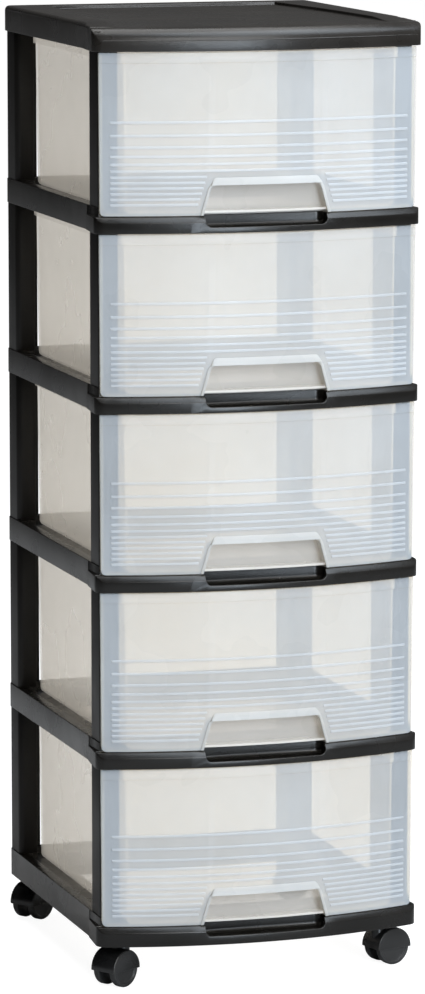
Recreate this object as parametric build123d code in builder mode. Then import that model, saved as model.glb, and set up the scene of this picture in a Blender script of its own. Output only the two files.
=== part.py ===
from build123d import *
import os
from math import cos, radians, sin

# Drawer tower: five bow-fronted translucent drawers in a stack of open black trays, on four
# twin-wheel castors. Millimetres, +Z up, the drawers open towards -Y, and the origin is on the
# floor under the middle of the tower. Everything bowed shares one upright axis, the bow axis.

# ---- Stack ----
drawer_count = 5
level_pitch = 172.0
castor_height = 43.0
base_skirt = 3.0
cover_height = 25.0
first_tray_z = castor_height + base_skirt
cover_z = first_tray_z + level_pitch * drawer_count

# ---- Plan ----
rear_y = 182.0
apron_y = -182.0
apron_end_y = -154.6
side_half = 158.4
corner_half = 159.7
corner_step = 1.0
front_half = 163.8
cover_grow = 1.4
front_corner_radius = 11.0
rear_corner_radius = 7.0
bow = apron_end_y - apron_y
bow_radius = (front_half**2 + bow**2) / (2 * bow)
bow_axis_y = apron_y + bow_radius
bow_axis = Axis((0, bow_axis_y, 0), (0, 0, 1))

# ---- Trays ----
tray_height = 24.5
apron_facet = 10.5
shelf_gap = 0.2
apron_shelf = 15.7
apron_setback = 4.25
runner_z = 18.7
rail_width = 10.0
opening_half = 118.0
opening_front_y = -104.0
opening_rear_y = 150.0
opening_mid_y = (opening_front_y + opening_rear_y) / 2
tray_wall = 3.0
hollow_depth = 11.5
corner_block_mid = 139.0
corner_block_width = 44.0
corner_block_margin = 4.0
back_rail_gap = 10.0
post_clearance = 2.0
scoop_half = 63.6
scoop_floor = 3.0
scoop_lip = 2.5
scoop_lip_z = 5.5
scoop_rear_y = -156.0
scoop_corner_radius = 8.0
scoop_floor_radius = 5.0
scoop_lip_reach = 15.0
scoop_lip_radius = 6.0

# ---- Cover ----
cover_sink = 3.0
cover_thickness = 2.6
cover_edge_radius = 4.5
cover_slope_mid = 4.5
cover_slope_mid_z = 18.7
cover_slope_run = 16.0
field_rear_y = 154.0
field_rear_half = 117.0
field_mid_half = 130.5
field_front_half = 134.0
rim_fall_start_y = -95.0
rim_fall_end_y = -145.0
cover_hollow_setback = 20.0
cover_front_hollow_half = 130.0

# ---- Uprights ----
post_inner = 139.0
post_outer = 157.6
post_depth = 36.0
front_post_y = -129.5
rear_post_y = 163.2
post_corner_radius = 6.0
post_height = level_pitch - tray_height
front_flange_thickness = 2.6
front_flange_reach = 27.0
back_flange_reach = 10.5
back_flange_thickness = 9.0
spigot_width = 11.0
spigot_depth = 26.0
upper_spigot = 8.0
lower_spigot = 6.0
socket_gap = 0.2

# ---- Drawers ----
panel_radius = bow_radius - apron_setback
panel_thickness = 2.5
panel_bottom_z = 16.5
panel_top_z = 171.0
panel_half_bottom = 157.8
panel_half_top = 158.8
panel_corner_radius = 4.5
weld_depth = 1.0
box_overlap = 0.5
floor_z = 19.0
floor_thickness = 2.0
box_half = 134.6
box_rear_y = 151.0
box_wall = 2.0
box_draft = 0.6
box_corner_radius = 6.0
rim_half = 138.2
rim_rear_y = 165.0
rim_height = 10.0
rim_lip = 1.8
rim_band_proud = 0.8
flange_width = 9.0
rib_proud = 0.5
rib_height = 1.7
rib_half = 149.0
rib_stop = 4.0
rib_stop_radius = 8.0
first_rib_z = 26.0
rib_gaps = [5.2, 5.2, 5.2, 5.2, 5.4, 5.8, 6.4, 7.4, 8.8, 11.0, 12.6]
notch_half_bottom = 63.0
notch_half_top = 54.0
notch_top_z = 45.5
notch_corner_radius = 5.0
pocket_depth = 14.0
pocket_wall = 2.0
grip_hood_top_z = 54.5
grip_hood_proud = 4.0
grip_hood_lip = 3.0
bead_width = 2.2
bead_proud = 1.2

# ---- Castors ----
wheel_radius = 17.5
wheel_width = 7.0
wheel_dish = 1.2
wheel_start = 6.6
web_half = 4.0
hood_radius = 19.4
hood_half = 14.4
hood_clearance = 0.6
hood_past = 1.0
hood_skirt_z = 16.5
axle_radius = 2.5
axle_boss_radius = 6.5
running_gap = 0.05
stem_radius = 4.0
stem_boss_radius = 6.6
boss_overlap = 1.0
stem_bottom_z = 27.0
stem_top_z = castor_height + 14.0
hood_top_gap = 0.8
hood_edge_radius = 1.0
web_recess = 0.3
wheel_edge_radius = 1.2
wheel_rim = 3.2
dish_taper = 30.0
axle_end_gap = 0.3
axle_recess = 2.0
stem_offset = 11.0
stem_x = 131.0
front_stem_y = -131.0
rear_stem_y = 165.0
castors = {
    "front_left": (-stem_x, front_stem_y, -57.0),
    "front_right": (stem_x, front_stem_y, 106.0),
    "back_left": (-stem_x, rear_stem_y, -55.0),
    "back_right": (stem_x, rear_stem_y, 62.0),
}

corners = {
    "front_left": (-1, front_post_y),
    "front_right": (1, front_post_y),
    "back_left": (-1, rear_post_y),
    "back_right": (1, rear_post_y),
}
post_mid = (post_inner + post_outer) / 2
beyond = 40.0


def save(part, name):
    """Labels a finished piece and writes it as its own STEP file."""
    part.label = name
    export_step(part, "parts/" + name + ".step")


def tray_z(level):
    """Underside of the tray that carries the drawer of this level, counted from the top."""
    return first_tray_z + level_pitch * (drawer_count - level)


def radial_plane(z):
    """Upright plane through the bow axis: x is the distance forward of the axis, y is height."""
    return Plane(origin=(0, bow_axis_y, z), x_dir=(0, -1, 0), z_dir=(-1, 0, 0))


def plan_outline(grow=0.0):
    """Plan of a tray or of the cover: straight back and sides, bowed front."""
    with BuildSketch() as outline:
        with BuildLine():
            Polyline(
                (front_half + grow, apron_end_y),
                (corner_half + grow, front_post_y + post_depth / 2),
                (side_half + grow, front_post_y + post_depth / 2 + corner_step),
                (side_half + grow, rear_y),
                (-side_half - grow, rear_y),
                (-side_half - grow, front_post_y + post_depth / 2 + corner_step),
                (-corner_half - grow, front_post_y + post_depth / 2),
                (-front_half - grow, apron_end_y),
            )
            ThreePointArc(
                (-front_half - grow, apron_end_y), (0, apron_y), (front_half + grow, apron_end_y)
            )
        make_face()
        front = outline.vertices().group_by(Axis.Y)[0]
        fillet(front, radius=front_corner_radius)
        back = outline.vertices().group_by(Axis.Y)[-1]
        fillet(back, radius=rear_corner_radius)
    return outline.sketch


def arc_band(outer_radius, inner_radius, half_width):
    """Plan of a bowed strip between two radii about the bow axis."""
    with BuildSketch() as band:
        with Locations((0, bow_axis_y)):
            Circle(outer_radius)
            Circle(inner_radius, mode=Mode.SUBTRACT)
        with Locations((0, bow_axis_y - outer_radius)):
            Rectangle(2 * half_width, 4 * beyond, mode=Mode.INTERSECT)
    return band.sketch


def front_trapezoid(half_bottom, half_top, bottom_z, top_z, corner_radius):
    """Front view of a trapezoid with rounded upper corners, on the plane y = 0."""
    with BuildSketch() as view:
        with BuildLine():
            Polyline(
                (-half_bottom, bottom_z),
                (half_bottom, bottom_z),
                (half_top, top_z),
                (-half_top, top_z),
                close=True,
            )
        make_face()
        fillet(view.vertices().group_by(Axis.Y)[-1], radius=corner_radius)
    return view.sketch


def socket_sketch(gap):
    """The four spigot outlines in plan, or their sockets when a gap is given."""
    with BuildSketch() as spigots:
        with Locations(*[(side * post_mid, y) for side, y in corners.values()]):
            Rectangle(spigot_width + 2 * gap, spigot_depth + 2 * gap)
    return spigots.sketch


def hollow_sketch():
    """Plan of the space inside the outer walls, clear of the solid corner blocks."""
    with BuildSketch() as hollow:
        add(plan_outline())
        offset(amount=-tray_wall, mode=Mode.REPLACE)
        with Locations(*[(side * corner_block_mid, y) for side, y in corners.values()]):
            Rectangle(corner_block_width, post_depth + corner_block_margin, mode=Mode.SUBTRACT)
    return hollow.sketch


def cell_sketch():
    """Plan of the three long cells under a tray: one in each side rail and one in the back rail."""
    opening_depth = opening_rear_y - opening_front_y
    with BuildSketch() as cells:
        add(hollow_sketch())
        with Locations((0, opening_mid_y)):
            Rectangle(
                2 * (opening_half + tray_wall), opening_depth + 2 * tray_wall, mode=Mode.SUBTRACT
            )
        with Locations((0, opening_front_y - beyond)):
            Rectangle(2 * (front_half + beyond), 2 * beyond, mode=Mode.SUBTRACT)
    return cells.sketch


def make_apron_cutter(z):
    """What is cut away above the apron's facet, its slope and the shelf behind it."""
    with BuildPart() as cutter:
        with BuildSketch(radial_plane(z)):
            Polygon(
                (bow_radius + beyond, apron_facet),
                (bow_radius, apron_facet),
                (panel_radius + shelf_gap, apron_shelf),
                (panel_radius - beyond, apron_shelf),
                (panel_radius - beyond, beyond),
                (bow_radius + beyond, beyond),
                align=None,
            )
        revolve(axis=bow_axis)
        front_of_posts = Plane.XZ.offset(-(front_post_y - post_depth / 2))
        split(bisect_by=front_of_posts, keep=Keep.TOP)
    return cutter.part


def make_scoop(z):
    """Finger scoop in the apron under the drawer's grip, with a thin front lip."""
    with BuildPart() as scoop:
        with BuildSketch(Plane.XY.offset(z + scoop_floor)) as plan:
            with Locations((0, scoop_rear_y - beyond)):
                Rectangle(2 * scoop_half, 2 * beyond)
            with Locations((0, bow_axis_y)):
                Circle(bow_radius - scoop_lip, mode=Mode.INTERSECT)
            fillet(plan.vertices(), radius=scoop_corner_radius)
        extrude(amount=beyond)
        bottom = scoop.faces().sort_by(Axis.Z)[0]
        fillet(bottom.edges(), radius=scoop_floor_radius)
        with BuildSketch(Plane.XZ.offset(-(apron_y + scoop_lip_reach))):
            with Locations((0, z + scoop_lip_z + beyond / 2)):
                RectangleRounded(2 * (scoop_half - scoop_lip_radius / 2), beyond, scoop_lip_radius)
        extrude(amount=beyond)
    return scoop.part


def make_tray(name, z, skirt):
    """Open tray: bowed apron, side rails with runner ledges, back rail and corner sockets."""
    apron_cutter = make_apron_cutter(z)
    scoop = make_scoop(z)
    with BuildPart() as tray:
        with BuildSketch(Plane.XY.offset(z - skirt)):
            add(plan_outline())
        extrude(amount=tray_height + skirt)
        with BuildSketch(Plane.XY.offset(z - skirt)):
            with Locations((0, opening_mid_y)):
                Rectangle(2 * opening_half, opening_rear_y - opening_front_y)
        extrude(amount=tray_height + skirt, mode=Mode.SUBTRACT)
        # The drawer's way: between the rails, and narrower between the corner blocks.
        with BuildSketch(Plane.XY.offset(z + runner_z)):
            with Locations((0, (front_post_y + rear_post_y) / 2)):
                Rectangle(2 * (side_half - rail_width), rear_post_y - front_post_y - post_depth)
                Rectangle(2 * post_inner, rear_post_y - front_post_y + post_depth - 2 * back_rail_gap)
            with Locations((0, front_post_y)):
                Rectangle(2 * post_inner, post_depth + post_clearance)
        extrude(amount=beyond, mode=Mode.SUBTRACT)
        add(apron_cutter, mode=Mode.SUBTRACT)
        add(scoop, mode=Mode.SUBTRACT)
        with BuildSketch(Plane.XY.offset(z - skirt)):
            add(cell_sketch())
        extrude(amount=hollow_depth + skirt, mode=Mode.SUBTRACT)
        with BuildSketch(Plane.XY.offset(z + tray_height)):
            add(socket_sketch(socket_gap))
        extrude(amount=-(lower_spigot + socket_gap), mode=Mode.SUBTRACT)
        if skirt:
            with BuildSketch(Plane.XY.offset(z - skirt)):
                with Locations(*[(x, y) for x, y, turn in castors.values()]):
                    Circle(stem_radius)
            extrude(amount=stem_top_z - castor_height, mode=Mode.SUBTRACT)
        else:
            with BuildSketch(Plane.XY.offset(z)):
                add(socket_sketch(socket_gap))
            extrude(amount=upper_spigot + socket_gap, mode=Mode.SUBTRACT)
    save(tray.part, name)


def make_cover(name, z):
    """Top cover: bowed front, field sunk inside a rim that falls away in front, hollow underneath."""
    field_z = cover_height - cover_sink
    ceiling_z = field_z - cover_thickness
    with BuildPart() as cover:
        with BuildSketch(Plane.XY.offset(z)):
            add(plan_outline(cover_grow))
        extrude(amount=cover_height)
        top_edges = cover.faces().sort_by(Axis.Z)[-1].edges()
        fillet(top_edges, radius=cover_edge_radius)
        with BuildSketch(radial_plane(z)):
            with BuildLine():
                ThreePointArc(
                    (bow_radius, apron_facet),
                    (bow_radius - cover_slope_mid, cover_slope_mid_z),
                    (bow_radius - cover_slope_run, field_z),
                )
                Polyline(
                    (bow_radius - cover_slope_run, field_z),
                    (bow_radius - cover_slope_run, cover_height + beyond),
                    (bow_radius + beyond, cover_height + beyond),
                    (bow_radius + beyond, apron_facet),
                    (bow_radius, apron_facet),
                )
            make_face()
        revolve(axis=bow_axis, mode=Mode.SUBTRACT)
        with BuildSketch(Plane.YZ):
            Polygon(
                (rim_fall_start_y, z + cover_height),
                (rim_fall_end_y, z + field_z),
                (apron_y - beyond, z + field_z),
                (apron_y - beyond, z + cover_height + beyond),
                (rim_fall_start_y, z + cover_height + beyond),
                align=None,
            )
        extrude(amount=front_half + beyond, both=True, mode=Mode.SUBTRACT)
        with BuildSketch(Plane.XY.offset(z + cover_height)):
            with BuildLine():
                field_corner = (field_front_half, rim_fall_end_y)
                ThreePointArc((field_rear_half, field_rear_y), (field_mid_half, 0), field_corner)
                Polyline(field_corner, (-field_front_half, rim_fall_end_y))
                ThreePointArc(
                    (-field_front_half, rim_fall_end_y),
                    (-field_mid_half, 0),
                    (-field_rear_half, field_rear_y),
                )
                Line((-field_rear_half, field_rear_y), (field_rear_half, field_rear_y))
            make_face()
        extrude(amount=-cover_sink, mode=Mode.SUBTRACT)
        with BuildSketch(Plane.XY.offset(z)):
            add(hollow_sketch())
            with Locations((0, bow_axis_y)):
                Circle(bow_radius - cover_hollow_setback, mode=Mode.INTERSECT)
        extrude(amount=ceiling_z, mode=Mode.SUBTRACT)
        with BuildSketch(Plane.XY.offset(z)):
            front_hollow_radius = bow_radius - cover_hollow_setback - tray_wall
            add(arc_band(bow_radius - tray_wall, front_hollow_radius, cover_front_hollow_half))
        extrude(amount=apron_facet - tray_wall, mode=Mode.SUBTRACT)
        with BuildSketch(Plane.XY.offset(z)):
            add(socket_sketch(socket_gap))
        extrude(amount=upper_spigot + socket_gap, mode=Mode.SUBTRACT)
    save(cover.part, name)


def make_upright(name, side, mid_y, z):
    """Corner upright with a spigot at each end, and a flange along the drawer or behind it."""
    front = mid_y < 0
    if front:
        flange_y = mid_y + post_depth / 2 + front_flange_reach / 2
        flange_x = post_inner + front_flange_thickness / 2
        flange_size = (front_flange_thickness, front_flange_reach)
    else:
        flange_y = mid_y + (post_depth - back_flange_thickness) / 2
        flange_x = post_inner - back_flange_reach / 2
        flange_size = (back_flange_reach, back_flange_thickness)
    with BuildPart() as upright:
        with BuildSketch(Plane.XY.offset(z)) as section:
            with Locations((side * post_mid, mid_y)):
                Rectangle(post_outer - post_inner, post_depth)
            outer = section.vertices().group_by(Axis.X)[-1 if side > 0 else 0]
            fillet(outer, radius=post_corner_radius)
            with Locations((side * flange_x, flange_y)):
                Rectangle(*flange_size)
        extrude(amount=post_height)
        with BuildSketch(Plane.XY.offset(z - lower_spigot)):
            with Locations((side * post_mid, mid_y)):
                Rectangle(spigot_width, spigot_depth)
        extrude(amount=post_height + lower_spigot + upper_spigot)
    save(upright.part, name)


def make_front_panel(z):
    """Bowed front of a drawer, with its ribs, top band and grip hood, before the grip is cut."""
    bead_half_bottom = notch_half_bottom + bead_width
    bead_half_top = notch_half_top + bead_width
    with BuildPart() as ribs:
        heights = [first_rib_z + sum(rib_gaps[:k]) for k in range(len(rib_gaps) + 1)]
        with BuildSketch(*[Plane.XY.offset(z + height) for height in heights]):
            add(arc_band(panel_radius + rib_proud, panel_radius - weld_depth, rib_half))
        extrude(amount=rib_height)
        with BuildSketch(Plane.XZ):
            add(
                front_trapezoid(
                    bead_half_bottom + rib_stop,
                    bead_half_top + rib_stop,
                    z,
                    z + grip_hood_top_z + rib_stop,
                    rib_stop_radius,
                )
            )
        extrude(amount=-2 * apron_y, both=True, mode=Mode.SUBTRACT)
    with BuildPart() as bead:
        with BuildSketch(Plane.XY.offset(z + panel_bottom_z)):
            add(arc_band(panel_radius + bead_proud, panel_radius - weld_depth, bead_half_bottom))
        extrude(amount=notch_top_z - panel_bottom_z + bead_width)
        with BuildSketch(Plane.XZ):
            add(
                front_trapezoid(
                    bead_half_bottom,
                    bead_half_top,
                    z + panel_bottom_z,
                    z + notch_top_z + bead_width,
                    notch_corner_radius,
                )
            )
        extrude(amount=-2 * apron_y, both=True, mode=Mode.INTERSECT)
    with BuildPart() as hood:
        with BuildSketch(radial_plane(z)):
            Polygon(
                (panel_radius - weld_depth, notch_top_z - grip_hood_lip),
                (panel_radius + grip_hood_proud, notch_top_z - grip_hood_lip),
                (panel_radius + grip_hood_proud, notch_top_z),
                (panel_radius, grip_hood_top_z),
                (panel_radius - weld_depth, grip_hood_top_z),
                align=None,
            )
        revolve(axis=bow_axis)
        with BuildSketch(Plane.XZ.offset(-apron_y / 2)):
            add(
                front_trapezoid(
                    bead_half_bottom,
                    notch_half_top - grip_hood_lip,
                    z + panel_bottom_z,
                    z + grip_hood_top_z,
                    grip_hood_lip,
                )
            )
        extrude(amount=-apron_y, mode=Mode.INTERSECT)
    with BuildPart() as panel:
        with BuildSketch(Plane.XY.offset(z + panel_bottom_z)):
            add(arc_band(panel_radius, panel_radius - panel_thickness, panel_half_top))
        extrude(amount=panel_top_z - panel_bottom_z)
        with BuildSketch(Plane.XY.offset(z + panel_top_z - rim_height)):
            add(arc_band(panel_radius + rim_band_proud, panel_radius - weld_depth, panel_half_top))
        extrude(amount=rim_height)
        with BuildSketch(Plane.XY.offset(z + panel_top_z - rim_lip)):
            add(arc_band(panel_radius, panel_radius - flange_width, rim_half))
        extrude(amount=rim_lip)
        with BuildSketch(Plane.XZ) as front_view:
            with BuildLine():
                Polyline(
                    (-panel_half_bottom, z + panel_bottom_z),
                    (panel_half_bottom, z + panel_bottom_z),
                    (panel_half_top, z + panel_top_z),
                    (-panel_half_top, z + panel_top_z),
                    close=True,
                )
            make_face()
            fillet(front_view.vertices().group_by(Axis.Y)[0], radius=panel_corner_radius)
        extrude(amount=-2 * apron_y, both=True, mode=Mode.INTERSECT)
        add(ribs.part)
        add(bead.part)
        add(hood.part)
    return panel.part


def make_drawer_box(z):
    """Tapered tub behind the front panel, with its turned-down rim, cut to the panel's bow."""
    wall_height = panel_top_z - floor_z
    front_y = apron_y - beyond
    box_depth = box_rear_y - front_y
    rim_depth = rim_rear_y - front_y
    with BuildPart() as box:
        with BuildSketch(Plane.XY.offset(z + panel_top_z - rim_height)):
            with Locations((0, (rim_rear_y + front_y) / 2)):
                RectangleRounded(2 * rim_half, rim_depth, box_corner_radius)
        extrude(amount=rim_height)
        # The rim stands off the rear wall and is open underneath there.
        with BuildSketch(Plane.XY.offset(z + panel_top_z - rim_height)):
            with Locations((0, (box_rear_y + rim_rear_y - rim_lip) / 2)):
                Rectangle(2 * (rim_half - 2 * rim_lip), rim_rear_y - rim_lip - box_rear_y)
        extrude(amount=rim_height - rim_lip, mode=Mode.SUBTRACT)
        with BuildSketch(Plane.XY.offset(z + floor_z)):
            with Locations((0, (box_rear_y + front_y) / 2)):
                RectangleRounded(2 * box_half, box_depth, box_corner_radius)
        extrude(amount=wall_height, taper=-box_draft)
        with BuildSketch(Plane.XY.offset(z + floor_z + floor_thickness)):
            with Locations((0, (box_rear_y + front_y) / 2)):
                RectangleRounded(
                    2 * (box_half - box_wall), box_depth - 2 * box_wall, box_corner_radius - box_wall
                )
        extrude(amount=wall_height, taper=-box_draft, mode=Mode.SUBTRACT)
        with BuildSketch(Plane.XY.offset(z)):
            with Locations((0, bow_axis_y)):
                Circle(panel_radius - box_overlap)
        extrude(amount=level_pitch, mode=Mode.INTERSECT)
    return box.part


def make_pocket(z):
    """Set-back walls behind the grip's notch, and the space that the fingers fill."""
    roof_z = z + notch_top_z + pocket_wall
    pocket_half = notch_half_bottom + 2 * pocket_wall
    with BuildPart() as walls:
        with BuildSketch(Plane.XZ.offset(-apron_y / 2)):
            add(
                front_trapezoid(
                    notch_half_bottom + pocket_wall,
                    notch_half_top + pocket_wall,
                    z + panel_bottom_z,
                    roof_z,
                    notch_corner_radius,
                )
            )
        extrude(amount=-apron_y)
        with BuildSketch(Plane.XY.offset(z)):
            pocket_back_radius = panel_radius - pocket_depth - pocket_wall
            add(arc_band(panel_radius - weld_depth, pocket_back_radius, pocket_half))
        extrude(amount=level_pitch, mode=Mode.INTERSECT)
    with BuildPart() as space:
        with BuildSketch(Plane.XZ.offset(-apron_y / 2)):
            add(
                front_trapezoid(notch_half_bottom, notch_half_top, z, z + notch_top_z, notch_corner_radius)
            )
        extrude(amount=-apron_y)
        with BuildSketch(Plane.XY.offset(z)):
            add(arc_band(panel_radius + beyond, panel_radius - pocket_depth, pocket_half))
        extrude(amount=level_pitch, mode=Mode.INTERSECT)
    return walls.part, space.part


def make_drawer(name, z):
    """One drawer in a single moulding: tub, bowed front and grip."""
    front_panel = make_front_panel(z)
    box = make_drawer_box(z)
    pocket_walls, finger_space = make_pocket(z)
    with BuildPart() as drawer:
        add(box)
        add(front_panel)
        add(pocket_walls)
        add(finger_space, mode=Mode.SUBTRACT)
    save(drawer.part, name)


def make_castor(name, x, y, turn):
    """Twin-wheel castor: stem in the base tray, swivelling hood, axle and two wheels."""
    axle_dir = (cos(radians(turn)), sin(radians(turn)), 0)
    to_stem = (-axle_dir[1], axle_dir[0], 0)
    centre = (x - stem_offset * to_stem[0], y - stem_offset * to_stem[1], wheel_radius)

    def across(shift):
        """Plane square to the axle, this far along it from the middle of the castor."""
        origin = tuple(c + shift * a for c, a in zip(centre, axle_dir))
        return Plane(origin=origin, x_dir=to_stem, z_dir=axle_dir)

    with BuildPart() as stem:
        with BuildSketch(Plane.XY.offset(stem_bottom_z)):
            with Locations((x, y)):
                Circle(stem_radius)
        extrude(amount=stem_top_z - stem_bottom_z)
    save(stem.part, name + "_stem")

    with BuildPart() as hood:
        with BuildSketch(across(-hood_half)):
            Circle(hood_radius)
        extrude(amount=2 * hood_half)
        round_edges = hood.edges().filter_by(GeomType.CIRCLE)
        fillet(round_edges, radius=hood_edge_radius)
        with BuildSketch(across(web_half), across(-hood_half - hood_past)):
            Circle(wheel_radius + hood_clearance)
        extrude(amount=hood_half + hood_past - web_half, mode=Mode.SUBTRACT)
        boss_top_z = castor_height - hood_top_gap
        with BuildSketch(Plane.XY.offset(stem_bottom_z - boss_overlap)):
            with Locations((x, y)):
                Circle(stem_boss_radius)
        extrude(amount=boss_top_z - stem_bottom_z + boss_overlap)
        # The stem's boss is wider than the web, so the wheels' room is cut out of it too.
        with BuildSketch(across(web_half + web_recess), across(-hood_half - hood_past)):
            Circle(wheel_radius + hood_clearance)
        extrude(amount=hood_half + hood_past - web_half - web_recess, mode=Mode.SUBTRACT)
        # Below its skirt the hood is only the web's boss round the axle.
        skirt_drop = wheel_radius - hood_skirt_z
        with BuildSketch(across(-hood_half - hood_past)):
            with Locations((0, -skirt_drop - beyond / 2)):
                Rectangle(2 * beyond, beyond)
            Circle(axle_boss_radius, mode=Mode.SUBTRACT)
        extrude(amount=2 * (hood_half + hood_past), mode=Mode.SUBTRACT)
        with BuildSketch(Plane.XY.offset(stem_bottom_z - running_gap)):
            with Locations((x, y)):
                Circle(stem_radius + running_gap)
        extrude(amount=castor_height, mode=Mode.SUBTRACT)
        with BuildSketch(across(-hood_half)):
            Circle(axle_radius)
        extrude(amount=2 * hood_half, mode=Mode.SUBTRACT)
    save(hood.part, name + "_hood")

    axle_half = wheel_start + wheel_width - axle_recess
    with BuildPart() as axle:
        with BuildSketch(across(-axle_half)):
            Circle(axle_radius)
        extrude(amount=2 * axle_half)
    save(axle.part, name + "_axle")

    # Each wheel is dished outside and its bore is blind, so that its outer face is closed.
    for side, wheel_name in ((-1, "_wheel_a"), (1, "_wheel_b")):
        with BuildPart() as wheel:
            with BuildSketch(across(side * wheel_start)):
                Circle(wheel_radius)
            extrude(amount=side * wheel_width)
            fillet(wheel.edges().filter_by(GeomType.CIRCLE), radius=wheel_edge_radius)
            with BuildSketch(across(side * (wheel_start + wheel_width))):
                Circle(wheel_radius - wheel_rim)
            extrude(amount=-side * wheel_dish, taper=dish_taper, mode=Mode.SUBTRACT)
            with BuildSketch(across(side * wheel_start)):
                Circle(axle_radius + running_gap)
            extrude(amount=side * (axle_half - wheel_start + axle_end_gap), mode=Mode.SUBTRACT)
        save(wheel.part, name + wheel_name)


os.makedirs("parts", exist_ok=True)

make_cover("top_cover", cover_z)
for level in range(1, drawer_count + 1):
    lowest = level == drawer_count
    make_tray("tray_" + str(level), tray_z(level), base_skirt if lowest else 0.0)
    make_drawer("drawer_" + str(level), tray_z(level))
    for corner, (side, post_y) in corners.items():
        make_upright("upright_" + str(level) + "_" + corner, side, post_y, tray_z(level) + tray_height)
for corner, (x, y, turn) in castors.items():
    make_castor("castor_" + corner, x, y, turn)
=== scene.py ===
"""Drawer tower: translucent bow-fronted drawers in a stack of black trays, on castors.

The tower stands on z = 0 and its drawers open towards -Y. Everything bowed shares one upright axis.
Named sizes are in millimetres where they shape a piece, and in metres where they set the stage.
"""

import math

import bmesh
import bpy
from bpy.props import FloatProperty, FloatVectorProperty, PointerProperty
from mathutils import Matrix, Vector


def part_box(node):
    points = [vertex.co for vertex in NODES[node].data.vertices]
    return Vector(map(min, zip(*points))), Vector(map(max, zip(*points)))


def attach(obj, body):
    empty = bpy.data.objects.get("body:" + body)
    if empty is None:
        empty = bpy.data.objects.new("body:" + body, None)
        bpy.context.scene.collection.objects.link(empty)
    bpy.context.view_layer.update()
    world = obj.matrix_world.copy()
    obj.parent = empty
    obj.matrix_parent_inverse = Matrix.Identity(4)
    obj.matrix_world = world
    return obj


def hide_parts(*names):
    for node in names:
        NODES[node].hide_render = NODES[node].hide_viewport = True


bl_info = {
    "name": "Drawer Tower",
    "version": (1, 0, 0),
    "blender": (4, 5, 0),
    "location": "View3D > Sidebar > Drawer Tower",
    "description": "Dresses a five-drawer plastic storage tower",
    "category": "Object",
}

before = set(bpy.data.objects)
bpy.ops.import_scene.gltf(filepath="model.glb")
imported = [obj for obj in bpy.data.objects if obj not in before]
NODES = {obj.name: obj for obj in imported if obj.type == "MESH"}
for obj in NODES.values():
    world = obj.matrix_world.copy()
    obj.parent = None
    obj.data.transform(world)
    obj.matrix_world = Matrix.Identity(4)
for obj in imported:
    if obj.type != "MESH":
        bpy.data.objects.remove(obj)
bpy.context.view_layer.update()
LEVELS = range(1, 6)
CORNERS = ("front_left", "front_right", "back_left", "back_right")
CASTORS = tuple("castor_" + corner for corner in CORNERS)

MM = 0.001
BOW_RADIUS = 503.0
BOW_AXIS_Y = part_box("tray_1")[0].y / MM + BOW_RADIUS


# ---- Sizes and colours ----


class TowerSizes(bpy.types.PropertyGroup):
    """Rounding of the pieces' edges, and the camera's place and lens."""

    shell_edge: FloatProperty(
        name="Shell edges", description="Rounding of the cover and the trays", default=0.0006, unit="LENGTH"
    )
    upright_edge: FloatProperty(
        name="Upright edges", description="Rounding of the uprights", default=0.0005, unit="LENGTH"
    )
    castor_edge: FloatProperty(
        name="Castor edges", description="Rounding of the hoods and wheels", default=0.00035, unit="LENGTH"
    )
    camera_x: FloatProperty(name="Camera X", description="Camera place", default=-1.5371, unit="LENGTH")
    camera_y: FloatProperty(name="Camera Y", description="Camera place", default=-4.8462, unit="LENGTH")
    camera_z: FloatProperty(name="Camera Z", description="Camera place", default=1.240, unit="LENGTH")
    camera_turn: FloatProperty(
        name="Turn", description="Camera turn to the right", default=math.radians(17.619), subtype="ANGLE"
    )
    camera_tilt: FloatProperty(
        name="Tilt", description="Camera tilt down", default=math.radians(8.804), subtype="ANGLE"
    )
    camera_lens: FloatProperty(
        name="Lens", description="Focal length on a 36 mm frame", default=188.14, subtype="DISTANCE_CAMERA"
    )


class TowerFinish(bpy.types.PropertyGroup):
    """Colours of the tower's plastics."""

    black: FloatVectorProperty(
        name="Black plastic", description="Trays", subtype="COLOR", size=3,
        default=(0.0046, 0.0041, 0.0035),
    )
    cover: FloatVectorProperty(
        name="Cover plastic", description="Top cover", subtype="COLOR", size=3,
        default=(0.0085, 0.0073, 0.0062),
    )
    # Lighter edge colour: part wear, part painted highlight.
    worn: FloatVectorProperty(
        name="Rubbed edge", description="Rubbed edges of the black plastic", subtype="COLOR", size=3,
        default=(0.050, 0.047, 0.043),
    )
    upright: FloatVectorProperty(
        name="Uprights", description="Corner uprights", subtype="COLOR", size=3,
        default=(0.0075, 0.0068, 0.0062),
    )
    castor: FloatVectorProperty(
        name="Castor plastic", description="Castor hoods", subtype="COLOR", size=3,
        default=(0.0060, 0.0060, 0.0060),
    )
    wheel: FloatVectorProperty(
        name="Wheels", description="Castor wheels", subtype="COLOR", size=3, default=(0.012, 0.012, 0.012)
    )
    steel: FloatVectorProperty(
        name="Pins", description="Castor stems and axles", subtype="COLOR", size=3, default=(0.55, 0.55, 0.57)
    )
    front: FloatVectorProperty(
        name="Drawer fronts", description="Milky front panels", subtype="COLOR", size=3,
        default=(0.66, 0.74, 0.85),
    )
    thick: FloatVectorProperty(
        name="Thick edges", description="Grip and edges of the fronts", subtype="COLOR", size=3,
        default=(0.66, 0.70, 0.74),
    )
    # Darker grey of the set-back pocket: painted shade of the recess.
    pocket: FloatVectorProperty(
        name="Grip pocket", description="Set-back grip pocket", subtype="COLOR", size=3,
        default=(0.58, 0.58, 0.575),
    )
    tub: FloatVectorProperty(
        name="Drawer tubs", description="Milky tubs", subtype="COLOR", size=3, default=(0.84, 0.83, 0.80)
    )


# ---- Materials ----

WHITE = (1.0, 1.0, 1.0)


def opaque(colour):
    """The colour with full alpha, as a shader socket takes it."""
    return (*colour, 1.0)


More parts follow.
